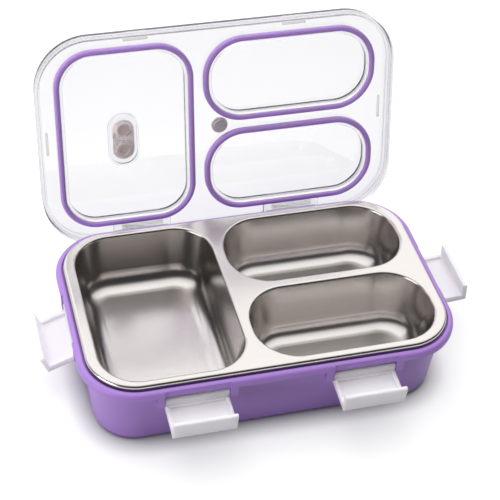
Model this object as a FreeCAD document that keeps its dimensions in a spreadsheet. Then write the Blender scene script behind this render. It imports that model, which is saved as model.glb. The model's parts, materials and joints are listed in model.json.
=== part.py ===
import FreeCAD, Part
import math
import os

import Sketcher
from FreeCAD import Placement, Rotation, Vector

# A bento lunch box: a plastic shell, a pressed steel tray with three compartments, a clear lid on
# two rear clips, and four latches. Millimetres, +Z up, the front towards -Y, and the origin on the
# table under the middle of the box. The lid stands open and the latches hang open.

DRIVING_SIZES = {
    # Steel tray
    "tray_length": 240.0,
    "tray_depth": 141.0,
    "tray_corner": 32.0,
    "tray_top": 57.5,
    "tray_skirt": 6.0,
    "tray_edge_bend": 2.2,
    "trim_outside": 1.0,
    "trim_inside": 2.0,
    "sheet": 0.6,
    "mouth_bend": 2.0,
    "wall_draft": 8.0,
    "compartment_height": 41.0,
    # Compartment openings, looked at from above
    "large_length": 95.0,
    "large_depth": 130.8,
    "large_corner": 26.0,
    "large_middle": -64.5,
    "large_floor_round": 14.0,
    "small_length": 122.4,
    "small_depth": 61.2,
    "small_corner": 28.0,
    "small_middle": 51.4,
    "small_offset": 34.1,
    "small_floor_round": 13.0,
    # Outer shell
    "rim_reach": 5.0,
    "rim_top": 54.0,
    "rim_height": 5.5,
    "rim_round": 3.0,
    "rim_lower_round": 0.8,
    "ledge_gap": 1.2,
    "wall_inset": 1.5,
    "wall_thickness": 2.0,
    "shell_draft": 4.5,
    "shell_floor": 2.2,
    "shell_bottom_round": 5.0,
    "shell_inner_round": 4.0,
    "notch_depth": 1.2,
    # Latches and their hinges
    "pin_reach": 1.5,
    "pin_height": 44.0,
    "pin_radius": 1.25,
    "pin_clearance": 0.05,
    "pin_inset": 0.5,
    "lug_reach": 2.9,
    "lug_drop": 4.9,
    "lug_nose": 1.0,
    "lug_width": 4.8,
    "lug_root": 4.7,
    "lug_overlap": 1.0,
    "latch_width": 41.0,
    "latch_side_gap": 0.5,
    "barrel_radius": 2.4,
    "panel_reach": 8.2,
    "panel_thickness": 2.5,
    "cheek_height": 1.8,
    "cheek_width": 2.2,
    "latch_foot": -0.5,
    "clip_foot": -1.7,
    "lip_height": 24.2,
    "lip_thickness": 2.8,
    "lip_depth": 13.3,
    "latch_round": 0.8,
    "heel_round": 1.7,
    "inner_round": 2.5,
    "lip_round": 1.0,
    "front_latch_spacing": 110.0,
    "front_latch_opening": 95.0,
    "left_latch_opening": 113.0,
    "right_latch_opening": 86.0,
    # Lid, at the heights that it has when it is shut
    "lid_opening": 105.0,
    "lid_bottom": 54.3,
    "lid_top": 65.0,
    "lid_plate": 2.0,
    "lid_round": 1.5,
    "skirt_thickness": 1.8,
    "skirt_step": 1.6,
    "skirt_step_height": 5.2,
    "seal_inset": 1.7,
    "seal_width": 3.8,
    "seal_clearance": 0.3,
    "seal_round": 1.5,
    "rib_gap": 0.2,
    "rib_width": 2.0,
    "rib_height": 3.5,
    "window_recess": 0.8,
    "keeper_height": 0.4,
    "keeper_length": 30.0,
    "keeper_depth": 6.0,
    "catch_length": 17.0,
    "catch_width": 2.0,
    "catch_depth": 0.7,
    "catch_corner": 0.9,
    # Vent valve in the large panel and the plug between the seals
    "valve_middle": -66.0,
    "valve_offset": 2.8,
    "pocket_length": 21.4,
    "pocket_depth": 39.0,
    "pocket_wall": 1.3,
    "pocket_boss": 1.6,
    "pocket_sink": 1.3,
    "oval_flat": 0.5,
    "flap_length": 15.0,
    "flap_depth": 29.0,
    "flap_thickness": 1.2,
    "flap_split": 1.5,
    "flap_gap": 0.3,
    "stud_offset": 7.6,
    "stud_radius": 4.8,
    "stud_reach": 2.1,
    "stud_clearance": 0.1,
    "vent_clearance": 0.7,
    "stud_dimple_radius": 3.1,
    "stud_dimple": 0.5,
    "anchor_head_radius": 5.4,
    "anchor_head_height": 0.8,
    "plug_middle": 2.2,
    "plug_offset": 0.8,
    "plug_radius": 4.6,
    "plug_clearance": 0.05,
    "plug_reach": 3.0,
    "plug_head_radius": 5.8,
    "plug_head_height": 1.4,
}

# Edges closer than this to a place count as lying there
TOUCH = 1e-3

CUBIC_MM_IN_CM = 1000.0

doc = FreeCAD.newDocument("bento_lunch_box")
sizes = doc.addObject("Spreadsheet::Sheet", "sizes")
for row, (alias, value) in enumerate(DRIVING_SIZES.items(), start=1):
    sizes.set(f"A{row}", alias)
    sizes.set(f"B{row}", str(value))
    sizes.setAlias(f"B{row}", alias)
doc.recompute()

# Lengths that several sub-parts share, as expressions on the sheet
RIM_LENGTH = "(sizes.tray_length + 2 * sizes.rim_reach)"
RIM_DEPTH = "(sizes.tray_depth + 2 * sizes.rim_reach)"
RIM_CORNER = "(sizes.tray_corner + sizes.rim_reach)"
RIM_BOTTOM = "(sizes.rim_top - sizes.rim_height)"
LEDGE_HEIGHT = "(sizes.tray_top - sizes.tray_skirt)"
PLATE_BOTTOM = "(sizes.lid_top - sizes.lid_plate)"
WINDOW_BOTTOM = f"({PLATE_BOTTOM} + sizes.window_recess)"
VALVE_SEAT = "(sizes.lid_top - sizes.pocket_sink)"
VALVE_PLACE = ("sizes.valve_middle", "sizes.valve_offset")
ANCHOR_PLACE = ("sizes.valve_middle", "sizes.valve_offset + sizes.stud_offset")
VENT_PLACE = ("sizes.valve_middle", "sizes.valve_offset - sizes.stud_offset")
PLUG_PLACE = ("sizes.plug_middle", "sizes.plug_offset")
LUG_SPAN = "(sizes.latch_width + 2 * sizes.latch_side_gap)"
SEAL_OUTER = "(sizes.seal_inset - sizes.seal_width / 2)"
SEAL_INNER = "(sizes.seal_inset + sizes.seal_width / 2)"
RIB_OUTER = f"({SEAL_INNER} + sizes.rib_gap)"
RIB_INNER = f"({RIB_OUTER} + sizes.rib_width)"

# Compartments: name, length, depth, corner, middle in X, middle in Y, floor round
COMPARTMENTS = [
    ("large", "sizes.large_length", "sizes.large_depth", "sizes.large_corner",
     "sizes.large_middle", "0", "sizes.large_floor_round"),
    ("front", "sizes.small_length", "sizes.small_depth", "sizes.small_corner",
     "sizes.small_middle", "-sizes.small_offset", "sizes.small_floor_round"),
    ("rear", "sizes.small_length", "sizes.small_depth", "sizes.small_corner",
     "sizes.small_middle", "sizes.small_offset", "sizes.small_floor_round"),
]

# Hinge stations: name, turn about Z from the front, place along the side
STATIONS = [
    ("front_left", 0.0, "-sizes.front_latch_spacing / 2"),
    ("front_right", 0.0, "sizes.front_latch_spacing / 2"),
    ("right", 90.0, "0"),
    ("rear_right", 180.0, "-sizes.front_latch_spacing / 2"),
    ("rear_left", 180.0, "sizes.front_latch_spacing / 2"),
    ("left", -90.0, "0"),
]

# How far each latch hangs open
LATCH_OPENINGS = {
    "front_left": "sizes.front_latch_opening",
    "front_right": "sizes.front_latch_opening",
    "right": "sizes.right_latch_opening",
    "left": "sizes.left_latch_opening",
}


def number(expression):
    """The value that an expression on the sheet has now."""
    return float(sizes.evalExpression(expression))


def bind(thing, property_name, expression):
    thing.setExpression(property_name, expression)


def origin_plane(body, role):
    return next(feature for feature in body.Origin.OriginFeatures if feature.Role == role)


def new_body(label):
    body = doc.addObject("PartDesign::Body", label)
    body.Label = label
    return body


def new_sketch(body, name, role, offset, place=("0", "0")):
    """A sketch on one of the body's origin planes, moved along its normal and within the plane."""
    sketch = body.newObject("Sketcher::SketchObject", name)
    sketch.AttachmentSupport = [(origin_plane(body, role), "")]
    sketch.MapMode = "FlatFace"
    bind(sketch, "AttachmentOffset.Base.x", place[0])
    bind(sketch, "AttachmentOffset.Base.y", place[1])
    bind(sketch, "AttachmentOffset.Base.z", offset)
    return sketch


def constrain(sketch, name, expression, *reference):
    """A named dimension of the sketch that follows an expression on the sheet."""
    index = sketch.addConstraint(Sketcher.Constraint(*reference, number(expression)))
    sketch.renameConstraint(index, name)
    bind(sketch, f"Constraints.{name}", expression)


def draw_rounded(sketch, length, depth, corner, tag=""):
    """A rounded rectangle about the sketch's own origin, drawn anticlockwise from the bottom line."""
    half_x = number(length) / 2
    half_y = number(depth) / 2
    radius = number(corner)
    inner_x = half_x - radius
    inner_y = half_y - radius
    ends = [
        (Vector(-inner_x, -half_y), Vector(inner_x, -half_y)),
        (Vector(half_x, -inner_y), Vector(half_x, inner_y)),
        (Vector(inner_x, half_y), Vector(-inner_x, half_y)),
        (Vector(-half_x, inner_y), Vector(-half_x, -inner_y)),
    ]
    centres = [
        Vector(inner_x, -inner_y),
        Vector(inner_x, inner_y),
        Vector(-inner_x, inner_y),
        Vector(-inner_x, -inner_y),
    ]
    quarter = math.pi / 2
    drawn = []
    for turn, ((start, end), centre) in enumerate(zip(ends, centres)):
        circle = Part.Circle(centre, Vector(0, 0, 1), radius)
        first_angle = (turn - 1) * quarter
        drawn.append(sketch.addGeometry(Part.LineSegment(start, end)))
        drawn.append(sketch.addGeometry(Part.ArcOfCircle(circle, first_angle, first_angle + quarter)))
    bottom, corner_arc, right, arc_two, top, arc_three, left, arc_four = drawn
    for this, following in zip(drawn, drawn[1:] + drawn[:1]):
        sketch.addConstraint(Sketcher.Constraint("Tangent", this, 2, following, 1))
    for line in (bottom, top):
        sketch.addConstraint(Sketcher.Constraint("Horizontal", line))
    for line in (left, right):
        sketch.addConstraint(Sketcher.Constraint("Vertical", line))
    for arc in (arc_two, arc_three, arc_four):
        sketch.addConstraint(Sketcher.Constraint("Equal", corner_arc, arc))
    sketch.addConstraint(Sketcher.Constraint("Symmetric", bottom, 1, top, 1, -1, 1))
    constrain(sketch, f"corner{tag}", corner, "Radius", corner_arc)
    constrain(sketch, f"length{tag}", length, "DistanceX", left, 1, right, 1)
    constrain(sketch, f"depth{tag}", depth, "DistanceY", bottom, 1, top, 1)


def rounded_sketch(body, name, height, length, depth, corner, middle=("0", "0")):
    sketch = new_sketch(body, name, "XY_Plane", height, middle)
    draw_rounded(sketch, length, depth, corner)
    return sketch


def ring_sketch(body, name, height, outer, inner, middle):
    """Two rounded rectangles about one middle; each is given as length, depth and corner."""
    sketch = new_sketch(body, name, "XY_Plane", height, middle)
    draw_rounded(sketch, *outer, tag="_outer")
    draw_rounded(sketch, *inner, tag="_inner")
    return sketch


def ring_sizes(length, depth, corner, offset):
    """A rounded rectangle made smaller all round by an offset."""
    return (f"{length} - 2 * {offset}", f"{depth} - 2 * {offset}", f"{corner} - {offset}")


def outline_sketch(body, name, role, offset, points):
    """A closed outline of straight lines whose corners are expressions on the sheet."""
    sketch = new_sketch(body, name, role, offset)
    corners = [Vector(number(across), number(up)) for across, up in points]
    lines = []
    for start, end in zip(corners, corners[1:] + corners[:1]):
        lines.append(sketch.addGeometry(Part.LineSegment(start, end)))
    for this, following in zip(lines, lines[1:] + lines[:1]):
        sketch.addConstraint(Sketcher.Constraint("Coincident", this, 2, following, 1))
    for place, (line, (across, up)) in enumerate(zip(lines, points)):
        constrain(sketch, f"across_{place}", across, "DistanceX", -1, 1, line, 1)
        constrain(sketch, f"up_{place}", up, "DistanceY", -1, 1, line, 1)
    return sketch


def circle_sketch(body, name, role, offset, radius, place=("0", "0")):
    sketch = new_sketch(body, name, role, offset, place)
    circle = sketch.addGeometry(Part.Circle(Vector(0, 0, 0), Vector(0, 0, 1), number(radius)))
    sketch.addConstraint(Sketcher.Constraint("Coincident", circle, 3, -1, 1))
    constrain(sketch, "radius", radius, "Radius", circle)
    return sketch


def extrude(kind, body, name, sketch, length, backwards=False, taper=None):
    """A Pad or a Pocket of a sketch."""
    feature = body.newObject(f"PartDesign::{kind}", name)
    feature.Profile = sketch
    feature.Reversed = backwards
    bind(feature, "Length", length)
    if taper is not None:
        bind(feature, "TaperAngle", taper)
    doc.recompute()
    return feature


def round_edges(body, name, radius, wanted):
    """Round every edge of the body that the wanted function picks."""
    base = body.Tip
    picked = [f"Edge{place}" for place, edge in enumerate(base.Shape.Edges, start=1) if wanted(edge)]
    fillet = body.newObject("PartDesign::Fillet", name)
    fillet.Base = (base, picked)
    bind(fillet, "Radius", radius)
    doc.recompute()
    return fillet


def lies_at(edge, height):
    """Whether an edge lies flat at a height."""
    return abs(edge.BoundBox.ZMin - height) < TOUCH and abs(edge.BoundBox.ZMax - height) < TOUCH


def within(edge, middle_x, middle_y, length, depth):
    """Whether an edge lies inside a rectangle that is looked at from above."""
    box = edge.BoundBox
    far_x = max(abs(box.XMin - middle_x), abs(box.XMax - middle_x))
    far_y = max(abs(box.YMin - middle_y), abs(box.YMax - middle_y))
    return far_x < length / 2 + TOUCH and far_y < depth / 2 + TOUCH


def on_outline(edge, half_length, half_depth, corner):
    """Whether the middle of an edge lies on a rounded rectangle about the Z axis."""
    middle = edge.valueAt((edge.FirstParameter + edge.LastParameter) / 2)
    over_x = max(abs(middle.x) - half_length + corner, 0.0)
    over_y = max(abs(middle.y) - half_depth + corner, 0.0)
    return abs(math.hypot(over_x, over_y) - corner) < 1e-3


def runs_at(edge, across, up):
    """Whether an edge runs along X at a place in the latch's profile."""
    box = edge.BoundBox
    return box.XLength > TOUCH and abs(box.Center.y - across) < TOUCH and abs(box.Center.z - up) < TOUCH


def hinge_placement(turn, along, swing):
    """Where a latch, lug pair or pin goes: swung about its pin, then turned to its side of the box."""
    half_size = "sizes.tray_length / 2" if abs(turn) == 90.0 else "sizes.tray_depth / 2"
    reach = number(half_size) + number("sizes.pin_reach")
    side = Rotation(Vector(0, 0, 1), turn)
    pin = side.multVec(Vector(number(along), -reach, 0)) + Vector(0, 0, number("sizes.pin_height"))
    return Placement(pin, side.multiply(Rotation(Vector(1, 0, 0), swing)))


def lid_placement():
    """The open lid: turned back about the rear pins from the place that it has when it is shut."""
    pin = Vector(0, number("sizes.tray_depth / 2 + sizes.pin_reach"), number("sizes.pin_height"))
    return Placement(Vector(0, 0, 0), Rotation(Vector(1, 0, 0), -number("sizes.lid_opening")), pin)


# Outer shell

def shell_core():
    body = new_body("shell_core")
    wall = rounded_sketch(
        body, "wall_outline", RIM_BOTTOM, "sizes.tray_length - 2 * sizes.wall_inset",
        "sizes.tray_depth - 2 * sizes.wall_inset", "sizes.tray_corner - sizes.wall_inset")
    extrude("Pad", body, "wall", wall, RIM_BOTTOM, backwards=True, taper="-sizes.shell_draft")
    round_edges(body, "bottom_round", "sizes.shell_bottom_round", lambda edge: lies_at(edge, 0.0))
    rim = rounded_sketch(body, "rim_outline", RIM_BOTTOM, RIM_LENGTH, RIM_DEPTH, RIM_CORNER)
    extrude("Pad", body, "rim", rim, "sizes.rim_height")
    rim_top = number("sizes.rim_top")
    round_edges(body, "rim_round", "sizes.rim_round", lambda edge: lies_at(edge, rim_top))
    rim_bottom = number(RIM_BOTTOM)
    rim_outline = (number(RIM_LENGTH) / 2, number(RIM_DEPTH) / 2, number(RIM_CORNER))
    round_edges(
        body, "rim_lower_round", "sizes.rim_lower_round",
        lambda edge: lies_at(edge, rim_bottom) and on_outline(edge, *rim_outline))
    recess = rounded_sketch(
        body, "recess_outline", "sizes.rim_top", "sizes.tray_length + 2 * sizes.ledge_gap",
        "sizes.tray_depth + 2 * sizes.ledge_gap", "sizes.tray_corner + sizes.ledge_gap")
    extrude("Pocket", body, "recess", recess, f"sizes.rim_top - {LEDGE_HEIGHT}")
    inset = "(sizes.wall_inset + sizes.wall_thickness)"
    cavity = rounded_sketch(
        body, "cavity_outline", LEDGE_HEIGHT, f"sizes.tray_length - 2 * {inset}",
        f"sizes.tray_depth - 2 * {inset}", f"sizes.tray_corner - {inset}")
    extrude(
        "Pocket", body, "cavity", cavity, f"{LEDGE_HEIGHT} - sizes.shell_floor", taper="-sizes.shell_draft")
    floor = number("sizes.shell_floor")
    round_edges(body, "cavity_round", "sizes.shell_inner_round", lambda edge: lies_at(edge, floor))
    return body


def lug_pair(name, turn, along):
    """Two lugs that hold one pin, made about the pin: the front is towards -Y."""
    body = new_body(f"lugs_{name}")
    rim_height = f"({RIM_BOTTOM} - sizes.pin_height + sizes.lug_overlap)"
    profile = outline_sketch(body, "lug_profile", "YZ_Plane", f"{LUG_SPAN} / 2", [
        ("sizes.lug_root", "-sizes.lug_drop"),
        ("sizes.lug_root", rim_height),
        ("-sizes.lug_reach", rim_height),
        ("-sizes.lug_reach", "-sizes.lug_drop"),
    ])
    lug = extrude("Pad", body, "lug", profile, "sizes.lug_width")
    nose = round_edges(
        body, "nose", "sizes.lug_nose",
        lambda edge: edge.BoundBox.YMax < 0 and edge.BoundBox.ZMax < 0)
    mirror = body.newObject("PartDesign::Mirrored", "other_lug")
    mirror.Originals = [lug, nose]
    mirror.MirrorPlane = (origin_plane(body, "YZ_Plane"), [""])
    body.Tip = mirror
    body.Placement = hinge_placement(turn, along, 0.0)
    doc.recompute()
    return body


def pin_cylinder(label, turn, along, radius, inset):
    """A round bar along a hinge axis, from lug to lug."""
    pin = doc.addObject("Part::Cylinder", label)
    pin.Label = label
    bind(pin, "Radius", radius)
    bind(pin, "Height", f"{LUG_SPAN} + 2 * sizes.lug_width - 2 * {inset}")
    half = number(f"{LUG_SPAN} / 2 + sizes.lug_width - {inset}")
    lying = Placement(Vector(-half, 0, 0), Rotation(Vector(0, 1, 0), 90))
    pin.Placement = hinge_placement(turn, along, 0.0).multiply(lying)
    return pin


def rim_notch(name, turn, along):
    """The shallow step in the rim's outer face between two lugs."""
    notch = doc.addObject("Part::Box", f"notch_{name}")
    overshoot = 5.0
    bind(notch, "Length", LUG_SPAN)
    notch.Width = overshoot
    notch.Height = number("sizes.rim_height") + 2 * overshoot
    face = number("sizes.rim_reach - sizes.pin_reach - sizes.notch_depth")
    rim_bottom = number(f"{RIM_BOTTOM} - sizes.pin_height")
    corner = Vector(-number(LUG_SPAN) / 2, -face - overshoot, rim_bottom - overshoot)
    notch.Placement = hinge_placement(turn, along, 0.0).multiply(Placement(corner, Rotation()))
    return notch


def outer_shell():
    lugs = [lug_pair(*station) for station in STATIONS]
    whole = doc.addObject("Part::MultiFuse", "shell_with_lugs")
    whole.Shapes = [notched_core()] + lugs
    bores = doc.addObject("Part::MultiFuse", "pin_bores")
    bores.Shapes = [
        pin_cylinder(f"bore_{name}", turn, along, "sizes.pin_radius", "0") for name, turn, along in STATIONS]
    shell = doc.addObject("Part::Cut", "outer_shell")
    shell.Label = "outer_shell"
    shell.Base = whole
    shell.Tool = bores
    return shell


def notched_core():
    notches = doc.addObject("Part::MultiFuse", "rim_notches")
    notches.Shapes = [rim_notch(*station) for station in STATIONS]
    notched = doc.addObject("Part::Cut", "notched_core")
    notched.Base = shell_core()
    notched.Tool = notches
    return notched


# Steel tray

def steel_tray():
    body = new_body("steel_tray")
    block_height = "sizes.compartment_height + sizes.sheet + sizes.trim_outside"
    edge = ("sizes.tray_length", "sizes.tray_depth", "sizes.tray_corner")
    flange = rounded_sketch(body, "flange_outline", "sizes.tray_top", *edge)
    extrude("Pad", body, "block", flange, block_height, backwards=True)
    top = number("sizes.tray_top")
    round_edges(body, "edge_bend", "sizes.tray_edge_bend", lambda edge: lies_at(edge, top))
    for name, length, depth, corner, middle_x, middle_y, floor_round in COMPARTMENTS:
        opening = rounded_sketch(
            body, f"{name}_opening", "sizes.tray_top", length, depth, corner, (middle_x, middle_y))
        extrude(
            "Pocket", body, f"{name}_compartment", opening, "sizes.compartment_height",
            taper="-sizes.wall_draft")
    floor = number("sizes.tray_top - sizes.compartment_height")
    for name, length, depth, corner, middle_x, middle_y, floor_round in COMPARTMENTS:
        area = (number(middle_x), number(middle_y), number(length), number(depth))
        round_edges(
            body, f"{name}_floor_round", floor_round,
            lambda edge: lies_at(edge, floor) and within(edge, *area))
    for name, length, depth, corner, middle_x, middle_y, floor_round in COMPARTMENTS:
        area = (number(middle_x), number(middle_y), number(length), number(depth))
        round_edges(
            body, f"{name}_mouth_bend", "sizes.mouth_bend",
            lambda edge: lies_at(edge, top) and within(edge, *area))
    solid = body.Tip
    lowest = solid.Shape.BoundBox.ZMin
    underside = [
        f"Face{place}" for place, face in enumerate(solid.Shape.Faces, start=1)
        if face.BoundBox.ZMax < lowest + TOUCH]
    hollow = body.newObject("PartDesign::Thickness", "pressed_sheet")
    hollow.Base = (solid, underside)
    hollow.Reversed = True
    bind(hollow, "Value", "sizes.sheet")
    doc.recompute()
    trim = ring_sketch(
        body, "skirt_trim_outline", LEDGE_HEIGHT, ring_sizes(*edge, "(-sizes.trim_outside)"),
        ring_sizes(*edge, "sizes.trim_inside"), ("0", "0"))
    extrude("Pocket", body, "skirt_trim", trim, "sizes.compartment_height")
    return body


# Lid and what it carries

def lid_cover():
    body = new_body("lid_cover")
    outline = rounded_sketch(body, "lid_outline", "sizes.lid_bottom", RIM_LENGTH, RIM_DEPTH, RIM_CORNER)
    extrude("Pad", body, "block", outline, "sizes.lid_top - sizes.lid_bottom")
    top = number("sizes.lid_top")
    round_edges(body, "lid_round", "sizes.lid_round", lambda edge: lies_at(edge, top))
    steps = [
        ("skirt_hollow", "sizes.skirt_thickness", "sizes.skirt_step_height"),
        ("plate_hollow", "(sizes.skirt_thickness + sizes.skirt_step)", f"{PLATE_BOTTOM} - sizes.lid_bottom"),
    ]
    for name, inset, height in steps:
        hollow = rounded_sketch(
            body, f"{name}_outline", "sizes.lid_bottom", f"{RIM_LENGTH} - 2 * {inset}",
            f"{RIM_DEPTH} - 2 * {inset}", f"{RIM_CORNER} - {inset}")
        extrude("Pocket", body, name, hollow, height, backwards=True)
    for name, length, depth, corner, middle_x, middle_y, floor_round in COMPARTMENTS:
        outer = ring_sizes(length, depth, corner, RIB_OUTER)
        inner = ring_sizes(length, depth, corner, RIB_INNER)
        middle = (middle_x, middle_y)
        rib = ring_sketch(body, f"{name}_rib_outline", PLATE_BOTTOM, outer, inner, middle)
        extrude("Pad", body, f"{name}_rib", rib, "sizes.rib_height", backwards=True)
        window = rounded_sketch(body, f"{name}_window_outline", PLATE_BOTTOM, *inner, middle)
        extrude("Pocket", body, f"{name}_window", window, "sizes.window_recess", backwards=True)
    valve_pocket(body)
    plug_hole = circle_sketch(
        body, "plug_hole_outline", "XY_Plane", "sizes.lid_top", "sizes.plug_radius + sizes.plug_clearance",
        PLUG_PLACE)
    extrude("Pocket", body, "plug_hole", plug_hole, "sizes.lid_top - sizes.lid_bottom")
    catches(body)
    keepers(body)
    body.Placement = lid_placement()
    return body


def valve_pocket(body):
    """The oval cup that sinks into the large panel, with its two stud holes."""
    boss = rounded_sketch(
        body, "pocket_boss_outline", WINDOW_BOTTOM, "sizes.pocket_length", "sizes.pocket_depth",
        "sizes.pocket_length / 2 - sizes.oval_flat", VALVE_PLACE)
    extrude("Pad", body, "pocket_boss", boss, "sizes.pocket_boss", backwards=True)
    sink = rounded_sketch(
        body, "pocket_sink_outline", "sizes.lid_top", "sizes.pocket_length - 2 * sizes.pocket_wall",
        "sizes.pocket_depth - 2 * sizes.pocket_wall",
        "sizes.pocket_length / 2 - sizes.pocket_wall - sizes.oval_flat", VALVE_PLACE)
    extrude("Pocket", body, "pocket_sink", sink, "sizes.pocket_sink")
    holes = [
        ("anchor_hole", ANCHOR_PLACE, "sizes.stud_clearance"),
        ("vent_hole", VENT_PLACE, "sizes.vent_clearance"),
    ]
    for name, place, clearance in holes:
        hole = circle_sketch(
            body, f"{name}_outline", "XY_Plane", "sizes.lid_top", f"sizes.stud_radius + {clearance}", place)
        extrude("Pocket", body, name, hole, "sizes.lid_top - sizes.lid_bottom")


def catches(body):
    """Shallow grooves in the top, where the tips of the latches lie when they are shut."""
    reach = "(sizes.panel_reach + sizes.pin_reach - sizes.lip_depth + sizes.catch_width)"
    half_x = f"sizes.tray_length / 2 + {reach}"
    half_y = f"sizes.tray_depth / 2 + {reach}"
    along = "sizes.front_latch_spacing / 2"
    across = ("sizes.catch_length", "sizes.catch_width")
    upright = ("sizes.catch_width", "sizes.catch_length")
    grooves = [
        ("front_left", across, (f"-{along}", f"-({half_y})")),
        ("front_right", across, (along, f"-({half_y})")),
        ("left", upright, (f"-({half_x})", "0")),
        ("right", upright, (half_x, "0")),
    ]
    for name, (length, depth), middle in grooves:
        groove = rounded_sketch(
            body, f"catch_{name}_outline", "sizes.lid_top", length, depth, "sizes.catch_corner", middle)
        extrude("Pocket", body, f"catch_{name}", groove, "sizes.catch_depth")


def keepers(body):
    """Low pads on the top that the lips of the rear clips bear on."""
    middle_y = "sizes.tray_depth / 2 + sizes.rim_reach - sizes.lid_round - sizes.keeper_depth / 2"
    along = "sizes.front_latch_spacing / 2"
    for name, middle_x in (("left", f"-{along}"), ("right", along)):
        keeper = rounded_sketch(
            body, f"keeper_{name}_outline", "sizes.lid_top", "sizes.keeper_length", "sizes.keeper_depth",
            "sizes.lip_round", (middle_x, middle_y))
        extrude("Pad", body, f"keeper_{name}", keeper, "sizes.keeper_height")


def seal(name, length, depth, corner, middle_x, middle_y, floor_round):
    body = new_body(f"seal_{name}")
    outer = ring_sizes(length, depth, corner, SEAL_OUTER)
    inner = ring_sizes(length, depth, corner, SEAL_INNER)
    ring = ring_sketch(body, "ring_outline", PLATE_BOTTOM, outer, inner, (middle_x, middle_y))
    extrude(
        "Pad", body, "ring", ring, f"{PLATE_BOTTOM} - sizes.tray_top - sizes.seal_clearance", backwards=True)
    tip = number("sizes.tray_top + sizes.seal_clearance")
    round_edges(body, "tip_round", "sizes.seal_round", lambda edge: lies_at(edge, tip))
    body.Placement = lid_placement()
    return body


def valve_half(label, near, far, stud_place):
    """One half of the oval valve: a pad in the pocket and a stud through the lid.

    The other half, from the near line to the far one, is cut off the pad.
    """
    body = new_body(label)
    pad = rounded_sketch(
        body, "pad_outline", VALVE_SEAT, "sizes.flap_length", "sizes.flap_depth",
        "sizes.flap_length / 2 - sizes.oval_flat", VALVE_PLACE)
    extrude("Pad", body, "pad", pad, "sizes.flap_thickness")
    left = "sizes.valve_middle - sizes.flap_length"
    right = "sizes.valve_middle + sizes.flap_length"
    cut = outline_sketch(body, "split_outline", "XY_Plane", VALVE_SEAT, [
        (left, near),
        (right, near),
        (right, far),
        (left, far),
    ])
    extrude("Pocket", body, "split", cut, "sizes.flap_thickness", backwards=True)
    stud = circle_sketch(
        body, "stud_outline", "XY_Plane", VALVE_SEAT, "sizes.stud_radius", stud_place)
    extrude("Pad", body, "stud", stud, "sizes.stud_reach", backwards=True)
    return body


def stud_dimple(body, tip, place):
    """The shallow round dimple in the end of a stud."""
    dimple = circle_sketch(body, "dimple_outline", "XY_Plane", tip, "sizes.stud_dimple_radius", place)
    extrude("Pocket", body, "dimple", dimple, "sizes.stud_dimple", backwards=True)


def valve_anchor():
    split = "sizes.valve_offset + sizes.flap_split"
    body = valve_half("valve_anchor", "-sizes.flap_depth", split, ANCHOR_PLACE)
    seat = f"({WINDOW_BOTTOM} - sizes.pocket_boss)"
    head = circle_sketch(
        body, "head_outline", "XY_Plane", seat, "sizes.anchor_head_radius", ANCHOR_PLACE)
    extrude("Pad", body, "head", head, "sizes.anchor_head_height", backwards=True)
    stud_dimple(body, f"{seat} - sizes.anchor_head_height", ANCHOR_PLACE)
    body.Placement = lid_placement()
    return body


def vent_flap():
    split = "sizes.valve_offset + sizes.flap_split - sizes.flap_gap"
    body = valve_half("vent_flap", split, "sizes.valve_offset + sizes.flap_depth", VENT_PLACE)
    stud_dimple(body, f"{VALVE_SEAT} - sizes.stud_reach", VENT_PLACE)
    body.Placement = lid_placement()
    return body


def vent_plug():
    body = new_body("vent_plug")
    shank = circle_sketch(
        body, "shank_outline", "XY_Plane", "sizes.lid_top", "sizes.plug_radius", PLUG_PLACE)
    extrude("Pad", body, "shank", shank, "sizes.plug_reach", backwards=True)
    head = circle_sketch(
        body, "head_outline", "XY_Plane", "sizes.lid_top", "sizes.plug_head_radius", PLUG_PLACE)
    extrude("Pad", body, "head", head, "sizes.plug_head_height")
    head_top = number("sizes.lid_top + sizes.plug_head_height")
    round_edges(body, "head_round", "sizes.lip_round", lambda edge: lies_at(edge, head_top))
    body.Placement = lid_placement()
    return body


# Latches, clips and pins

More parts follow.
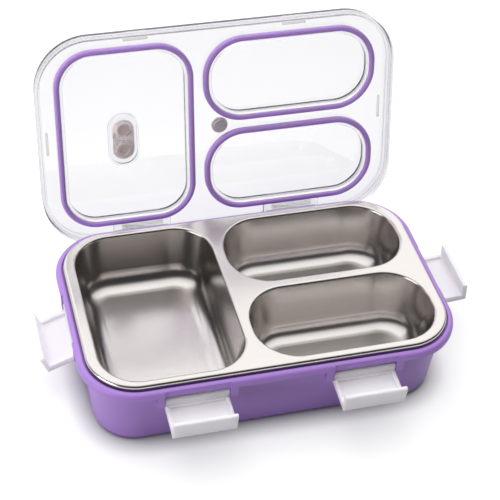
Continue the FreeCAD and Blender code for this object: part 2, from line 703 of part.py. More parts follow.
def latch(label, turn, along, swing, heel):
    """A latch about its own pin: shut it stands up, with its panel towards -Y and its lip inwards.

    The heel is the panel's foot, and meets the shell's wall where the latch stops.
    """
    body = new_body(label)
    start = "-sizes.latch_width / 2"
    cheek_face = "(sizes.panel_reach - sizes.panel_thickness - sizes.cheek_height)"
    lip_tip = "(sizes.lip_depth - sizes.panel_reach)"
    lip_under = "(sizes.lip_height - sizes.lip_thickness)"
    profile = outline_sketch(body, "profile", "YZ_Plane", start, [
        ("0", "-sizes.barrel_radius"),
        ("-sizes.panel_reach", heel),
        ("-sizes.panel_reach", "sizes.lip_height"),
        (lip_tip, "sizes.lip_height"),
        (lip_tip, lip_under),
        (f"-{cheek_face}", lip_under),
        (f"-{cheek_face}", "sizes.barrel_radius"),
        ("0", "sizes.barrel_radius"),
    ])
    extrude("Pad", body, "arm", profile, "sizes.latch_width")
    barrel = circle_sketch(body, "barrel_outline", "YZ_Plane", start, "sizes.barrel_radius")
    extrude("Pad", body, "barrel", barrel, "sizes.latch_width")
    inside = outline_sketch(body, "inside_outline", "YZ_Plane", f"{start} + sizes.cheek_width", [
        ("-sizes.panel_reach + sizes.panel_thickness", "sizes.barrel_radius + sizes.lip_round"),
        ("-sizes.panel_reach + sizes.panel_thickness", lip_under),
        ("0", lip_under),
        ("0", "sizes.barrel_radius + sizes.lip_round"),
    ])
    extrude(
        "Pocket", body, "inside", inside, "sizes.latch_width - 2 * sizes.cheek_width", backwards=True)
    bore = circle_sketch(body, "bore_outline", "YZ_Plane", start, "sizes.pin_radius + sizes.pin_clearance")
    extrude("Pocket", body, "bore", bore, "sizes.latch_width", backwards=True)
    reach = number("sizes.panel_reach")
    top = number("sizes.lip_height")
    foot = number(heel)
    tip = number(lip_tip)
    under = number(lip_under)
    round_edges(body, "outer_round", "sizes.latch_round", lambda edge: runs_at(edge, -reach, top))
    round_edges(body, "heel_round", "sizes.heel_round", lambda edge: runs_at(edge, -reach, foot))
    panel_face = number("sizes.panel_thickness - sizes.panel_reach")
    round_edges(body, "inner_round", "sizes.inner_round", lambda edge: runs_at(edge, panel_face, under))
    round_edges(
        body, "tip_round", "sizes.lip_round",
        lambda edge: runs_at(edge, tip, top) or runs_at(edge, tip, under))
    body.Placement = hinge_placement(turn, along, swing)
    return body


def build():
    """Every sub-part that the box is made of."""
    parts = [outer_shell(), steel_tray(), lid_cover()]
    parts += [seal(*compartment) for compartment in COMPARTMENTS]
    parts += [valve_anchor(), vent_flap(), vent_plug()]
    for name, turn, along in STATIONS:
        if name in LATCH_OPENINGS:
            opening = number(LATCH_OPENINGS[name])
            parts.append(latch(f"latch_{name}", turn, along, opening, "sizes.latch_foot"))
        else:
            parts.append(latch(f"clip_{name}", turn, along, number("sizes.lid_opening"), "sizes.clip_foot"))
        parts.append(pin_cylinder(f"pin_{name}", turn, along, "sizes.pin_radius", "sizes.pin_inset"))
    doc.recompute()
    return parts


def check_document():
    for thing in doc.Objects:
        if "Invalid" in thing.State or "Error" in thing.State:
            raise RuntimeError(f"{thing.Label} failed: {thing.State}")


def export(parts):
    os.makedirs("parts", exist_ok=True)
    for part in parts:
        shape = part.Shape
        if shape.isNull() or not shape.isValid() or len(shape.Solids) != 1:
            raise RuntimeError(f"{part.Label} is not one valid solid")
    for part in parts:
        part.Shape.exportStep(os.path.join("parts", f"{part.Label}.step"))
        box = part.Shape.BoundBox
        print(f"{part.Label}: {part.Shape.Volume / CUBIC_MM_IN_CM:.2f} cm3,"
              f" x {box.XMin:.2f} to {box.XMax:.2f}, y {box.YMin:.2f} to {box.YMax:.2f},"
              f" z {box.ZMin:.2f} to {box.ZMax:.2f}")


sub_parts = build()
check_document()
export(sub_parts)
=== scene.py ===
import json
import math

import bpy
from mathutils import Matrix, Vector


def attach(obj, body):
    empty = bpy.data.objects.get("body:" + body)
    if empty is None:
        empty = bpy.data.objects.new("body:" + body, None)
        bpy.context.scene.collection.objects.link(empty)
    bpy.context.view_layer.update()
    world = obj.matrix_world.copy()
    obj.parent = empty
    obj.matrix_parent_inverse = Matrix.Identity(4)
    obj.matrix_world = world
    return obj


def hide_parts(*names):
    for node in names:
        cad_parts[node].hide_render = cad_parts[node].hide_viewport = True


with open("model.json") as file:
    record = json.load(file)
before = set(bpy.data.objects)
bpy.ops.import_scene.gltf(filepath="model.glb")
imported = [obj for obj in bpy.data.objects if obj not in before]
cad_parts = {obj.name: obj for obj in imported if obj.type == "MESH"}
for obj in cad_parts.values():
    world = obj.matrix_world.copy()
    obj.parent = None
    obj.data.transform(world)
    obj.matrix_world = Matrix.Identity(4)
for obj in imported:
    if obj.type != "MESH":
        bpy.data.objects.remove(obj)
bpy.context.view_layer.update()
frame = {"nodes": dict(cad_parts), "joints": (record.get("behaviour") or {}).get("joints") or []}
scene = bpy.context.scene
scene.view_settings.view_transform = "Standard"

# A bento lunch box with its lid standing open. Metres, +Z up, the front towards -Y.

NODES = frame["nodes"]
JOINTS = {joint["name"]: joint for joint in frame["joints"]}

# The lid's hinge, how the lid was turned from shut to open, and the way its outside faces now
HINGE = JOINTS["lid_hinge"]
HINGE_PLACE = Vector(HINGE["pos_m"])
LID_TURN = Matrix.Rotation(-math.radians(HINGE["range_deg"][0]), 4, Vector(HINGE["axis"]))
LID_OUTWARD = LID_TURN.to_3x3() @ Vector((0.0, 0.0, 1.0))

# Heights above the hinge along the lid's outward side, and the depths over which one zone fades into the next
PLATE_UNDERSIDE = 0.0190
VALVE_SEAT = 0.0197
CATCH_FLOOR = 0.0203
ZONE_FADE = 0.0002
CATCH_FADE = 0.00003

# Clear plastic and grey silicone
CLEAR_ROUGHNESS = 0.03
SKIRT_ROUGHNESS = 0.22
CLEAR_IOR = 1.49
LAMPLIGHT_STOPPED = 0.12
SILICONE_ROUGHNESS = 0.5
# Painted shade: the catch slots' floor is coloured this dark grey, as shade in the recess.
CATCH_PAINTED_SHADE_GREY = (0.42, 0.41, 0.43)
STUD_GREY = (0.63, 0.54, 0.535)
# Painted backlight: the thin pad is coloured lighter than the thicker studs.
PAD_PAINTED_BACKLIT_GREY = (0.88, 0.79, 0.785)

# Depths of the relief, in metres
GRAIN_DEPTH = 0.0002
STREAK_DEPTH = 0.0001
RIPPLE_DEPTH = 0.0004

# How far light goes into a pale moulding, in metres, and the share of it that does in the valve
MOULDING_LIGHT_DEPTH = 0.005
VALVE_LIGHT_DEPTH = 0.003
VALVE_LIGHT_SHARE = 0.7

# Radii of softened edges, in metres, and the samples that soften them
MOULDING_EDGE = 0.0004
VALVE_EDGE = 0.0003
EDGE_SAMPLES = 6

# The three seals: the corner radius of each bead's path, the bead's section, and the points in a rounding
SEAL_CORNERS = {"seal_large": 0.0243, "seal_front": 0.0263, "seal_rear": 0.0263}
BEAD_WIDTH = 0.0038
BEAD_ROUNDING = 0.46
CORNER_POINTS = 32
SECTION_POINTS = 10

# The photograph's camera, as turns in degrees, metres and pixels of the photograph
PHOTO_SIDE = 500
VIEW_TURN = -15.90
VIEW_HEIGHT = 41.51
VIEW_ROLL = 3.38
VIEW_TARGET = Vector((-0.00883, 0.10950, 0.040))
VIEW_DISTANCE = 1.01594
FOCAL_PIXELS = 1401.71
CENTRE_PIXEL = (200.0, 200.0)
SENSOR_MILLIMETRES = 36.0
SIGHT_LIMIT = 100.0

# The floor: half its side in metres, and its levels, where 1 is white
FLOOR_HALF = 6.0
FLOOR_WHITE = 0.51
FLOOR_ROUGHNESS = 0.9
FLOOR_GLOW = 0.58
GLOW_THROUGH_LID = 0.79

# How close to the box the floor's glow fades as a painted contact shadow, in metres, and the open share
# overhead at which the glow is out and full
PAINTED_SHADOW_REACH = 0.022
PAINTED_SHADOW_DEEPEST = 0.45
PAINTED_SHADOW_GONE = 0.90
PAINTED_SHADOW_SAMPLES = 16

# The ceiling's middle, and its levels between cosines of the angle from that middle
CEILING_LEAN = (0.0, 0.6, 0.8)
CEILING_EDGE = 0.30
CEILING_FULL = 0.60
CEILING_LEVEL = 1.20
PANEL_EDGE = 0.55
PANEL_FULL = 0.92
PANEL_EXTRA = 0.40
ROOM_LEVEL = 0.05
WHITE = (1.0, 1.0, 1.0, 1.0)

# The softboxes: where each stands, what it points at, its width and depth, and its watts
ABOVE_PLACE = (-0.25, 0.05, 1.10)
ABOVE_TARGET = (0.0, 0.0, 0.05)
ABOVE_SIZE = (1.0, 0.6)
ABOVE_WATTS = 3.9
LEFT_PLACE = (-0.9, -0.40, 0.17)
LEFT_TARGET = (0.0, 0.0, 0.03)
LEFT_SIZE = (0.6, 0.2)
LEFT_WATTS = 3.4


# Shared shader groups

def new_group(name, inputs, outputs):
    """An empty shader group with its named sockets; inputs map a name to a type and a default."""
    group = bpy.data.node_groups.new(name, "ShaderNodeTree")
    for label, (kind, default) in inputs.items():
        socket = group.interface.new_socket(label, in_out="INPUT", socket_type=kind)
        socket.default_value = default
    for label, kind in outputs.items():
        group.interface.new_socket(label, in_out="OUTPUT", socket_type=kind)
    start = group.nodes.new("NodeGroupInput")
    end = group.nodes.new("NodeGroupOutput")
    return group, start, end


def add(tree, kind, inputs=None, **settings):
    """A node with its settings and its unlinked input values, or links where a socket is given."""
    node = tree.nodes.new(kind)
    for name, value in settings.items():
        setattr(node, name, value)
    for name, value in (inputs or {}).items():
        if isinstance(value, bpy.types.NodeSocket):
            tree.links.new(value, node.inputs[name])
        else:
            node.inputs[name].default_value = value
    return node


def moulded_surface_group():
    """The unevenness of a moulded surface: a slow tone drift, a fine grain and a roughness drift."""
    group, start, end = new_group(
        "moulded_surface",
        {
            "Colour": ("NodeSocketColor", (0.5, 0.5, 0.5, 1.0)),
            "Drift": ("NodeSocketFloat", 0.05),
            "Drift Scale": ("NodeSocketFloat", 25.0),
            "Grain Scale": ("NodeSocketFloat", 1800.0),
            "Roughness": ("NodeSocketFloat", 0.4),
            "Roughness Drift": ("NodeSocketFloat", 0.06),
        },
        {"Colour": "NodeSocketColor", "Roughness": "NodeSocketFloat", "Grain": "NodeSocketFloat"})
    place = add(group, "ShaderNodeTexCoord").outputs["Object"]
    drift = add(group, "ShaderNodeTexNoise", {
        "Vector": place, "Scale": start.outputs["Drift Scale"], "Detail": 3.0, "Roughness": 0.5})
    grain = add(group, "ShaderNodeTexNoise", {
        "Vector": place, "Scale": start.outputs["Grain Scale"], "Detail": 2.0, "Roughness": 0.6})
    centred = add(group, "ShaderNodeMath", {0: drift.outputs["Fac"], 1: 0.5}, operation="SUBTRACT")
    tone = add(group, "ShaderNodeMath", {
        0: centred.outputs[0], 1: start.outputs["Drift"], 2: 1.0}, operation="MULTIPLY_ADD")
    colour = add(group, "ShaderNodeHueSaturation", {
        "Color": start.outputs["Colour"], "Value": tone.outputs[0]})
    rough = add(group, "ShaderNodeMath", {
        0: centred.outputs[0], 1: start.outputs["Roughness Drift"], 2: start.outputs["Roughness"]},
        operation="MULTIPLY_ADD")
    group.links.new(colour.outputs["Color"], end.inputs["Colour"])
    group.links.new(rough.outputs[0], end.inputs["Roughness"])
    group.links.new(grain.outputs["Fac"], end.inputs["Grain"])
    return group


def rolled_steel_group():
    """The fine streaks that rolling leaves on sheet and wire, along the X axis."""
    group, start, end = new_group(
        "rolled_steel",
        {
            "Colour": ("NodeSocketColor", (0.7, 0.7, 0.7, 1.0)),
            "Streak": ("NodeSocketFloat", 0.04),
            "Streak Scale": ("NodeSocketFloat", 900.0),
            "Stretch": ("NodeSocketFloat", 0.03),
            "Roughness": ("NodeSocketFloat", 0.25),
            "Roughness Drift": ("NodeSocketFloat", 0.08),
        },
        {"Colour": "NodeSocketColor", "Roughness": "NodeSocketFloat", "Streaks": "NodeSocketFloat"})
    place = add(group, "ShaderNodeTexCoord").outputs["Object"]
    squeeze = add(group, "ShaderNodeCombineXYZ", {"X": start.outputs["Stretch"], "Y": 1.0, "Z": 1.0})
    stretched = add(group, "ShaderNodeVectorMath", {
        0: place, 1: squeeze.outputs[0]}, operation="MULTIPLY")
    streaks = add(group, "ShaderNodeTexNoise", {
        "Vector": stretched.outputs[0], "Scale": start.outputs["Streak Scale"], "Detail": 2.0})
    clouds = add(group, "ShaderNodeTexNoise", {"Vector": place, "Scale": 18.0, "Detail": 2.0})
    centred = add(group, "ShaderNodeMath", {0: streaks.outputs["Fac"], 1: 0.5}, operation="SUBTRACT")
    tone = add(group, "ShaderNodeMath", {
        0: centred.outputs[0], 1: start.outputs["Streak"], 2: 1.0}, operation="MULTIPLY_ADD")
    colour = add(group, "ShaderNodeHueSaturation", {
        "Color": start.outputs["Colour"], "Value": tone.outputs[0]})
    cloud = add(group, "ShaderNodeMath", {0: clouds.outputs["Fac"], 1: 0.5}, operation="SUBTRACT")
    rough = add(group, "ShaderNodeMath", {
        0: cloud.outputs[0], 1: start.outputs["Roughness Drift"], 2: start.outputs["Roughness"]},
        operation="MULTIPLY_ADD")
    group.links.new(colour.outputs["Color"], end.inputs["Colour"])
    group.links.new(rough.outputs[0], end.inputs["Roughness"])
    group.links.new(streaks.outputs["Fac"], end.inputs["Streaks"])
    return group


def lid_height_group():
    """How high a point lies above the hinge along the lid's outward side, faded between two heights."""
    group, start, end = new_group(
        "lid_height",
        {"Low": ("NodeSocketFloat", 0.0), "High": ("NodeSocketFloat", 0.01)},
        {"Above": "NodeSocketFloat"})
    place = add(group, "ShaderNodeTexCoord").outputs["Object"]
    offset = add(group, "ShaderNodeVectorMath", {0: place, 1: HINGE_PLACE}, operation="SUBTRACT")
    height = add(group, "ShaderNodeVectorMath", {
        0: offset.outputs[0], 1: LID_OUTWARD}, operation="DOT_PRODUCT")
    above = add(group, "ShaderNodeMapRange", {
        "Value": height.outputs["Value"],
        "From Min": start.outputs["Low"], "From Max": start.outputs["High"]})
    group.links.new(above.outputs["Result"], end.inputs["Above"])
    return group


MOULDED_SURFACE = moulded_surface_group()
ROLLED_STEEL = rolled_steel_group()
LID_HEIGHT = lid_height_group()


# Materials

def new_material(name):
    """A material with its node tree and its shader."""
    material = bpy.data.materials.new(name)
    material.use_nodes = True
    tree = material.node_tree
    return material, tree, tree.nodes["Principled BSDF"]


def lay_on(tree, shader, surface, bump):
    """Give a shader the colour and roughness of a surface group and the normal of its relief."""
    tree.links.new(surface.outputs["Colour"], shader.inputs["Base Color"])
    tree.links.new(surface.outputs["Roughness"], shader.inputs["Roughness"])
    tree.links.new(bump.outputs["Normal"], shader.inputs["Normal"])


def let_light_in(shader, share, depth):
    """Let light into a pale moulding and out again, as far as the depth in metres."""
    shader.inputs["Subsurface Weight"].default_value = share
    shader.inputs["Subsurface Radius"].default_value = (1.0, 1.0, 1.0)
    shader.inputs["Subsurface Scale"].default_value = depth


def moulded(name, colour, roughness, drift=0.06, translucent=0.0):
    """A moulded plastic or silicone with softened edges."""
    material, tree, shader = new_material(name)
    if translucent:
        let_light_in(shader, translucent, MOULDING_LIGHT_DEPTH)
    surface = add(tree, "ShaderNodeGroup", node_tree=MOULDED_SURFACE)
    surface.inputs["Colour"].default_value = (*colour, 1.0)
    surface.inputs["Drift"].default_value = drift
    surface.inputs["Roughness"].default_value = roughness
    soft_edge = add(tree, "ShaderNodeBevel", {"Radius": MOULDING_EDGE}, samples=EDGE_SAMPLES)
    bump = add(tree, "ShaderNodeBump", {
        "Strength": 0.02, "Distance": GRAIN_DEPTH, "Height": surface.outputs["Grain"],
        "Normal": soft_edge.outputs["Normal"]})
    lay_on(tree, shader, surface, bump)
    return material


def steel(name, colour, roughness, streak):
    """Satin steel with the streaks of rolling."""
    material, tree, shader = new_material(name)
    surface = add(tree, "ShaderNodeGroup", node_tree=ROLLED_STEEL)
    surface.inputs["Colour"].default_value = (*colour, 1.0)
    surface.inputs["Streak"].default_value = streak
    surface.inputs["Roughness"].default_value = roughness
    bump = add(tree, "ShaderNodeBump", {
        "Strength": 0.03, "Distance": STREAK_DEPTH, "Height": surface.outputs["Streaks"]})
    lay_on(tree, shader, surface, bump)
    shader.inputs["Metallic"].default_value = 1.0
    return material


def above_height(tree, height, fade):
    """A mask that rises from 0 to 1 over the fade below a height of the lid."""
    zone = add(tree, "ShaderNodeGroup", node_tree=LID_HEIGHT)
    zone.inputs["Low"].default_value = height - fade
    zone.inputs["High"].default_value = height
    return zone.outputs["Above"]


def blend(tree, mask, low, high):
    """A colour that is low where the mask is 0 and high where it is 1; either may be a socket."""
    mix = add(tree, "ShaderNodeMix", data_type="RGBA")
    tree.links.new(mask, mix.inputs["Factor"])
    low_socket, high_socket = [socket for socket in mix.inputs if socket.type == "RGBA"]
    for socket, colour in ((low_socket, low), (high_socket, high)):
        if isinstance(colour, bpy.types.NodeSocket):
            tree.links.new(colour, socket)
        else:
            socket.default_value = (*colour, 1.0)
    return next(socket for socket in mix.outputs if socket.type == "RGBA")


def clear_plastic(name, colour, skirt=None):
    """Clear moulded plastic that lamplight passes through. A lid's skirt and ribs are hazier and painted
    greyer as shade, and its catch slots are painted dark grey as shade.
    """
    material, tree, shader = new_material(name)
    surface = add(tree, "ShaderNodeGroup", node_tree=MOULDED_SURFACE)
    surface.inputs["Colour"].default_value = (*colour, 1.0)
    surface.inputs["Drift"].default_value = 0.03
    surface.inputs["Grain Scale"].default_value = 60.0
    surface.inputs["Roughness"].default_value = CLEAR_ROUGHNESS
    surface.inputs["Roughness Drift"].default_value = 0.03
    if skirt:
        # Painted shade: below the plate's underside, the skirt and ribs take the greyer skirt colour.
        plate = above_height(tree, PLATE_UNDERSIDE, ZONE_FADE)
        # Painted shade: a thin band at the catch floor takes the dark catch grey.
        over_catch = above_height(tree, CATCH_FLOOR - CATCH_FADE, CATCH_FADE)
        past_catch = above_height(tree, CATCH_FLOOR + 2 * CATCH_FADE, CATCH_FADE)
        catch = add(tree, "ShaderNodeMath", {0: over_catch, 1: past_catch}, operation="SUBTRACT")
        zoned = blend(tree, catch.outputs[0], blend(tree, plate, skirt, colour), CATCH_PAINTED_SHADE_GREY)
        haze = add(tree, "ShaderNodeMapRange", {
            "Value": plate, "To Min": SKIRT_ROUGHNESS, "To Max": CLEAR_ROUGHNESS})
        tree.links.new(zoned, surface.inputs["Colour"])
        tree.links.new(haze.outputs["Result"], surface.inputs["Roughness"])
    bump = add(tree, "ShaderNodeBump", {
        "Strength": 0.05, "Distance": RIPPLE_DEPTH, "Height": surface.outputs["Grain"]})
    path = add(tree, "ShaderNodeLightPath")
    cover = add(tree, "ShaderNodeMapRange", {
        "Value": path.outputs["Is Shadow Ray"], "To Min": 1.0, "To Max": LAMPLIGHT_STOPPED})
    lay_on(tree, shader, surface, bump)
    tree.links.new(cover.outputs["Result"], shader.inputs["Alpha"])
    shader.inputs["IOR"].default_value = CLEAR_IOR
    shader.inputs["Transmission Weight"].default_value = 1.0
    return material


def valve_silicone():
    """Grey silicone that light shines through in the thin pad, and less so in the thicker studs; the pad is
    also painted lighter than the studs as painted backlight.
    """
    material, tree, shader = new_material("grey_valve_silicone")
    let_light_in(shader, VALVE_LIGHT_SHARE, VALVE_LIGHT_DEPTH)
    # Painted backlight: this mask colours the thin pad lighter than the studs.
    pad = above_height(tree, VALVE_SEAT, ZONE_FADE)
    colour = blend(tree, pad, STUD_GREY, PAD_PAINTED_BACKLIT_GREY)
    surface = add(tree, "ShaderNodeGroup", node_tree=MOULDED_SURFACE)
    surface.inputs["Drift"].default_value = 0.06
    surface.inputs["Roughness"].default_value = SILICONE_ROUGHNESS
    soft_edge = add(tree, "ShaderNodeBevel", {"Radius": VALVE_EDGE}, samples=EDGE_SAMPLES)
    bump = add(tree, "ShaderNodeBump", {
        "Strength": 0.02, "Distance": GRAIN_DEPTH, "Height": surface.outputs["Grain"],
        "Normal": soft_edge.outputs["Normal"]})
    tree.links.new(colour, surface.inputs["Colour"])
    lay_on(tree, shader, surface, bump)
    return material


SHELL_PURPLE = moulded("purple_shell_plastic", (0.376, 0.205, 0.610), roughness=0.42)
SEAL_PURPLE = moulded("purple_seal_silicone", (0.420, 0.250, 0.630), roughness=0.40, translucent=0.3)
LATCH_WHITE = moulded("white_latch_plastic", (0.82, 0.80, 0.83), roughness=0.38, drift=0.03, translucent=1.0)
VALVE_GREY = valve_silicone()
PLUG_GREY = moulded("grey_plug_silicone", (0.55, 0.48, 0.515), SILICONE_ROUGHNESS, translucent=0.5)
TRAY_STEEL = steel("satin_tray_steel", (0.60, 0.570, 0.552), roughness=0.22, streak=0.05)
PIN_STEEL = steel("pin_wire_steel", (0.62, 0.61, 0.60), roughness=0.3, streak=0.05)
# The skirt colour is a greyer tint painted as shade on the lid's skirt and ribs.
LID_CLEAR = clear_plastic("clear_lid_plastic", (0.875, 0.875, 0.89), skirt=(0.73, 0.71, 0.76))
CLIP_CLEAR = clear_plastic("clear_clip_plastic", (0.96, 0.96, 0.97))

FINISHES = {
    "outer_shell": SHELL_PURPLE,
    "steel_tray": TRAY_STEEL,
    "lid_cover": LID_CLEAR,
    "seal": SEAL_PURPLE,
    "valve_anchor": VALVE_GREY,
    "vent_flap": VALVE_GREY,
    "vent_plug": PLUG_GREY,
    "latch": LATCH_WHITE,
    "clip": CLIP_CLEAR,
    "pin": PIN_STEEL,
}


def dress_nodes():
    """Give each piece its finish; the finishes are named for a node or for the start of its name."""
    for name, piece in NODES.items():
        finish = FINISHES.get(name) or FINISHES[name.split("_")[0]]
        piece.material_slots[0].material = finish


# Seals

def seal_bead_tree():
    """Geometry nodes for a bead of round section that runs around a rounded rectangle."""
    tree = bpy.data.node_groups.new("seal_bead", "GeometryNodeTree")
    for label in ("Length", "Depth", "Corner", "Width", "Height"):
        socket = tree.interface.new_socket(label, in_out="INPUT", socket_type="NodeSocketFloat")
        socket.subtype = "DISTANCE"
    tree.interface.new_socket("Material", in_out="INPUT", socket_type="NodeSocketMaterial")
    tree.interface.new_socket("Geometry", in_out="OUTPUT", socket_type="NodeSocketGeometry")
    start = tree.nodes.new("NodeGroupInput")
    end = tree.nodes.new("NodeGroupOutput")
    outline = add(tree, "GeometryNodeCurvePrimitiveQuadrilateral", {
        "Width": start.outputs["Length"], "Height": start.outputs["Depth"]})
    path = add(tree, "GeometryNodeFilletCurve", {
        "Curve": outline.outputs["Curve"], "Count": CORNER_POINTS, "Radius": start.outputs["Corner"]},
        mode="POLY")
    section = add(tree, "GeometryNodeCurvePrimitiveQuadrilateral", {
        "Width": start.outputs["Width"], "Height": start.outputs["Height"]})
    edge = add(tree, "ShaderNodeMath", {
        0: start.outputs["Width"], 1: BEAD_ROUNDING}, operation="MULTIPLY")
    bead = add(tree, "GeometryNodeFilletCurve", {
        "Curve": section.outputs["Curve"], "Count": SECTION_POINTS, "Radius": edge.outputs[0]},
        mode="POLY")
    sweep = add(tree, "GeometryNodeCurveToMesh", {
        "Curve": path.outputs["Curve"], "Profile Curve": bead.outputs["Curve"]})
    smooth = add(tree, "GeometryNodeSetShadeSmooth", {"Geometry": sweep.outputs["Mesh"]})
    whole = add(tree, "GeometryNodeRealizeInstances", {"Geometry": smooth.outputs["Geometry"]})
    finish = add(tree, "GeometryNodeSetMaterial", {
        "Geometry": whole.outputs["Geometry"], "Material": start.outputs["Material"]})
    tree.links.new(finish.outputs["Geometry"], end.inputs["Geometry"])
    return tree


def made_by(tree, name, **values):
    """The mesh that a geometry node tree makes with these named inputs."""
    carrier = bpy.data.objects.new(f"{name}_carrier", bpy.data.meshes.new(f"{name}_carrier"))
    scene.collection.objects.link(carrier)
    modifier = carrier.modifiers.new(name, "NODES")
    modifier.node_group = tree
    items = tree.interface.items_tree
    sockets = {item.name: item.identifier for item in items if item.in_out == "INPUT"}
    for label, value in values.items():
        modifier[sockets[label]] = value
    graph = bpy.context.evaluated_depsgraph_get()
    mesh = bpy.data.meshes.new_from_object(carrier.evaluated_get(graph))
    mesh.name = name
    carrier.modifiers.remove(modifier)
    bpy.data.objects.remove(carrier)
    return mesh


def shut_box(node):
    """The low and high corners of a lid piece's box where it is when the lid is shut, from the hinge."""
    back = LID_TURN.inverted()
    points = [back @ (node.matrix_world @ vertex.co - HINGE_PLACE) for vertex in node.data.vertices]
    low = Vector([min(point[axis] for point in points) for axis in range(3)])
    high = Vector([max(point[axis] for point in points) for axis in range(3)])
    return low, high


def seals():
    """The rounder bead of each seal, in place of its plain solid."""
    tree = seal_bead_tree()
    for name, corner in SEAL_CORNERS.items():
        low, high = shut_box(NODES[name])
        size = high - low
        mesh = made_by(
            tree, f"{name}_bead", Length=size.x - BEAD_WIDTH, Depth=size.y - BEAD_WIDTH, Corner=corner,
            Width=BEAD_WIDTH, Height=size.z, Material=SEAL_PURPLE)
        place = Matrix.Translation(HINGE_PLACE) @ LID_TURN @ Matrix.Translation((low + high) / 2)
        mesh.transform(place)
        piece = bpy.data.objects.new(f"{name}_bead", mesh)
        scene.collection.objects.link(piece)
        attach(piece, "lid")
        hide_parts(name)


# Studio

def floor():
    """A white floor that shows part of its light as its own glow, which fades close to the box as a painted
    contact shadow.
    """
    mesh = bpy.data.meshes.new("floor")
    signs = ((-1, -1), (1, -1), (1, 1), (-1, 1))
    corners = [(x * FLOOR_HALF, y * FLOOR_HALF, 0.0) for x, y in signs]
    mesh.from_pydata(corners, [], [(0, 1, 2, 3)])
    piece = bpy.data.objects.new("floor", mesh)
    scene.collection.objects.link(piece)
    material, tree, shader = new_material("white_floor")
    shader.inputs["Base Color"].default_value = (FLOOR_WHITE, FLOOR_WHITE, FLOOR_WHITE, 1.0)
    shader.inputs["Roughness"].default_value = FLOOR_ROUGHNESS
    shader.inputs["Specular IOR Level"].default_value = 0.0
    shader.inputs["Emission Color"].default_value = WHITE
    path = add(tree, "ShaderNodeLightPath")
    seen = add(tree, "ShaderNodeMath", {
        0: path.outputs["Is Camera Ray"], 1: path.outputs["Is Glossy Ray"]}, operation="MAXIMUM")
    shown = add(tree, "ShaderNodeMath", {
        0: seen.outputs[0], 1: path.outputs["Is Transmission Ray"]}, operation="MAXIMUM")
    through = add(tree, "ShaderNodeMapRange", {
        "Value": path.outputs["Is Transmission Ray"], "To Min": 1.0, "To Max": GLOW_THROUGH_LID})
    # Painted contact shadow: ambient occlusion dims the floor's glow close to the box.
    near = add(tree, "ShaderNodeAmbientOcclusion", {"Distance": PAINTED_SHADOW_REACH}, samples=PAINTED_SHADOW_SAMPLES)
    glow_past_painted_shadow = add(tree, "ShaderNodeMapRange", {
        "Value": near.outputs["AO"],
        "From Min": PAINTED_SHADOW_DEEPEST, "From Max": PAINTED_SHADOW_GONE, "To Max": FLOOR_GLOW})
    full_glow = add(tree, "ShaderNodeMath", {
        0: shown.outputs[0], 1: glow_past_painted_shadow.outputs["Result"]}, operation="MULTIPLY")
    glow = add(tree, "ShaderNodeMath", {
        0: full_glow.outputs[0], 1: through.outputs["Result"]}, operation="MULTIPLY")
    tree.links.new(glow.outputs[0], shader.inputs["Emission Strength"])
    mesh.materials.append(material)


def surroundings():
    """A bright ceiling with a brighter panel, reaching down behind the box. The viewer's side is dark."""
    world = bpy.data.worlds.new("studio")
    world.use_nodes = True
    scene.world = world
    tree = world.node_tree
    background = tree.nodes["Background"]
    background.inputs["Color"].default_value = WHITE
    direction = add(tree, "ShaderNodeTexCoord").outputs["Generated"]
    lean = add(tree, "ShaderNodeVectorMath", {0: direction, 1: CEILING_LEAN}, operation="DOT_PRODUCT")
    ramp = add(tree, "ShaderNodeMapRange", {
        "Value": lean.outputs["Value"], "From Min": CEILING_EDGE, "From Max": CEILING_FULL,
        "To Min": ROOM_LEVEL, "To Max": CEILING_LEVEL}, interpolation_type="SMOOTHSTEP")
    panel = add(tree, "ShaderNodeMapRange", {
        "Value": lean.outputs["Value"], "From Min": PANEL_EDGE, "From Max": PANEL_FULL,
        "To Max": PANEL_EXTRA}, interpolation_type="SMOOTHSTEP")
    light = add(tree, "ShaderNodeMath", {
        0: ramp.outputs["Result"], 1: panel.outputs["Result"]}, operation="ADD")
    path = add(tree, "ShaderNodeLightPath")
    seen = add(tree, "ShaderNodeMath", {
        0: path.outputs["Is Camera Ray"], 1: path.outputs["Is Transmission Ray"]}, operation="MAXIMUM")
    level = add(tree, "ShaderNodeMath", {0: light.outputs[0], 1: seen.outputs[0]}, operation="MAXIMUM")
    tree.links.new(level.outputs[0], background.inputs["Strength"])


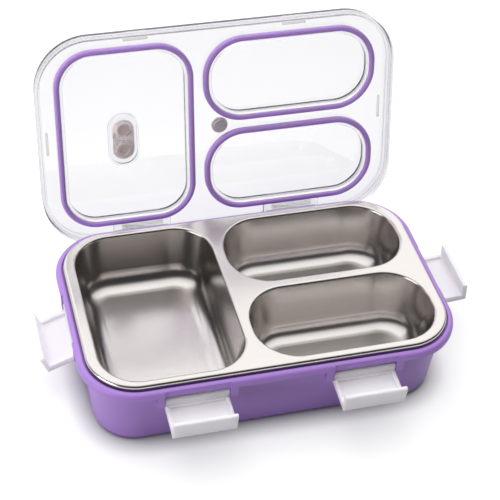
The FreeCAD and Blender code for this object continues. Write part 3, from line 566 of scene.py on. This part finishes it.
def area_lamp(name, place, target, size, watts):
    """A rectangular softbox that points at its target."""
    data = bpy.data.lights.new(name, "AREA")
    data.shape = "RECTANGLE"
    data.size, data.size_y = size
    data.energy = watts
    lamp = bpy.data.objects.new(name, data)
    lamp.location = place
    lamp.rotation_mode = "QUATERNION"
    lamp.rotation_quaternion = (Vector(target) - Vector(place)).to_track_quat("-Z", "Y")
    scene.collection.objects.link(lamp)
    return lamp


def lamps():
    """A softbox above, which the steel doesn't mirror, and a low one at the left."""
    above = area_lamp("softbox_above", ABOVE_PLACE, ABOVE_TARGET, ABOVE_SIZE, ABOVE_WATTS)
    above.visible_glossy = False
    area_lamp("softbox_left", LEFT_PLACE, LEFT_TARGET, LEFT_SIZE, LEFT_WATTS)


def camera():
    """The photograph's view: turned about the box, raised, and rolled about its own line of sight."""
    turn = math.radians(VIEW_TURN)
    height = math.radians(VIEW_HEIGHT)
    roll = math.radians(VIEW_ROLL)
    flat = math.cos(height)
    ahead = Vector((-math.sin(turn) * flat, math.cos(turn) * flat, -math.sin(height)))
    level_right = Vector((math.cos(turn), math.sin(turn), 0.0))
    level_up = level_right.cross(ahead)
    right = math.cos(roll) * level_right + math.sin(roll) * level_up
    up = -math.sin(roll) * level_right + math.cos(roll) * level_up
    data = bpy.data.cameras.new("photograph_view")
    data.sensor_width = SENSOR_MILLIMETRES
    data.lens = data.sensor_width * FOCAL_PIXELS / PHOTO_SIDE
    data.shift_x = (PHOTO_SIDE / 2 - CENTRE_PIXEL[0]) / PHOTO_SIDE
    data.shift_y = (CENTRE_PIXEL[1] - PHOTO_SIDE / 2) / PHOTO_SIDE
    data.clip_end = SIGHT_LIMIT
    eye = bpy.data.objects.new("photograph_view", data)
    facing = Matrix((right, up, -ahead)).transposed().to_4x4()
    eye.matrix_world = Matrix.Translation(VIEW_TARGET - ahead * VIEW_DISTANCE) @ facing
    scene.collection.objects.link(eye)
    scene.camera = eye


dress_nodes()
seals()
floor()
surroundings()
lamps()
camera()
